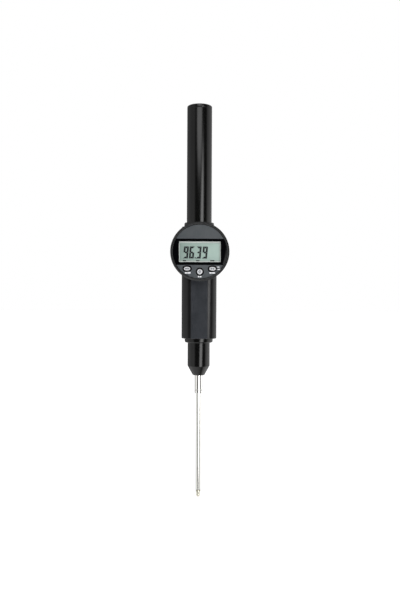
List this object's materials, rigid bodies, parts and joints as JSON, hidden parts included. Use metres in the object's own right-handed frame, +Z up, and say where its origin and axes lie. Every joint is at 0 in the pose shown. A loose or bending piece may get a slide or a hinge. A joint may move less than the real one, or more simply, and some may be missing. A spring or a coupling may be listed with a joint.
{
  "type": "digital dial indicator",
  "caption": "Long-travel digital dial indicator: round display head on a soft-cornered square body, guard tube, clamping stem and a sprung sliding spindle with a ball contact.",
  "frame": {"origin": "on the spindle's axis at the middle of the exposed stem, where a holder clamps it", "axes": "+Z up the spindle's axis, from the contact point to the guard tube's cap; the display faces -Y; +X is on the right of a person who reads the display"},
  "size_m": [0.059, 0.0673, 0.4089],
  "materials": {
    "black_anodised": "satin black anodised aluminium",
    "black_plastic": "fine-textured black moulded plastic",
    "grey_plate": "satin dark grey",
    "gloss_black_window": "gloss black around a clear opening",
    "liquid_crystal": "grey-green reflective display",
    "key_grey": "satin light grey",
    "polished_steel": "ground and polished",
    "dark_steel": "blackened steel",
    "bronze": "sintered bronze",
    "rubber": "matt black rubber",
    "circuit_board": "green solder mask",
    "flex_cable": "amber film",
    "aluminium": "machined",
    "carbide": "polished hard metal, slightly warm"
  },
  "bodies": {
    "casing": {"battery": "polished_steel", "battery_contact": "bronze", "bezel_ring": "black_plastic", "board_screw_left": "dark_steel", "board_screw_right": "dark_steel", "body_housing": "black_anodised", "bottom_collar": "black_anodised", "bracket_screw_left": "dark_steel", "bracket_screw_right": "dark_steel", "controller_chip": "black_plastic", "display_frame": "black_plastic", "face_plate": "grey_plate", "guard_tube": "black_anodised", "guide_rail": "polished_steel", "head_case": "black_plastic", "head_screw_lower_left": "dark_steel", "head_screw_lower_right": "dark_steel", "head_screw_upper_left": "dark_steel", "head_screw_upper_right": "dark_steel", "keypad_mat": "rubber", "lcd_glass": "liquid_crystal", "lower_bumper": "rubber", "lug_plate": "black_anodised", "lug_screw_lower": "dark_steel", "lug_screw_upper": "dark_steel", "main_board": "circuit_board", "nose_sleeve": "black_anodised", "rail_screw_lower": "dark_steel", "rail_screw_upper": "dark_steel", "return_spring": "polished_steel", "sensor_board": "circuit_board", "sensor_bracket": "black_plastic", "sensor_flex": "flex_cable", "stem": "polished_steel", "stem_bush_lower": "bronze", "stem_bush_upper": "bronze", "stop_rod": "aluminium", "top_collar": "black_anodised", "tube_cap": "black_anodised", "upper_bumper": "rubber", "window_lens": "gloss_black_window", "wiper_ring": "rubber", "zebra_strip_lower": "rubber", "zebra_strip_upper": "rubber"},
    "spindle": {"spindle": "polished_steel", "contact_point": "polished_steel", "contact_ball": "carbide", "scale_carrier": "aluminium", "scale_strip": "circuit_board", "clamp_screw_lower": "dark_steel", "clamp_screw_upper": "dark_steel", "guide_pin": "polished_steel", "spring_seat": "aluminium"},
    "key_left": {"key_left": "key_grey"},
    "key_middle": {"key_middle": "key_grey"},
    "key_right": {"key_right": "key_grey"},
    "battery_cap": {"battery_cap": "black_plastic", "battery_seal": "rubber"}
  },
  "joints": [
    {"name": "spindle_slide", "type": "slide", "parent": "casing", "child": "spindle", "axis": [0, 0, 1], "range_m": [0, 0.1], "stiffness_N_per_m": 8, "springref_m": -0.1, "deforming": ["return_spring"]},
    {"name": "key_left_press", "type": "slide", "parent": "casing", "child": "key_left", "axis": [0, 1, 0], "range_m": [0, 0.0008], "stiffness_N_per_m": 1500, "springref_m": -0.0002},
    {"name": "key_middle_press", "type": "slide", "parent": "casing", "child": "key_middle", "axis": [0, 1, 0], "range_m": [0, 0.0008], "stiffness_N_per_m": 1500, "springref_m": -0.0002},
    {"name": "key_right_press", "type": "slide", "parent": "casing", "child": "key_right", "axis": [0, 1, 0], "range_m": [0, 0.0008], "stiffness_N_per_m": 1500, "springref_m": -0.0002},
    {"name": "battery_cap_turn", "type": "hinge", "parent": "casing", "child": "battery_cap", "pos_m": [0.0209, -0.0172, 0.13685], "axis": [0, 1, 0], "range_deg": [0, 60]}
  ]
}
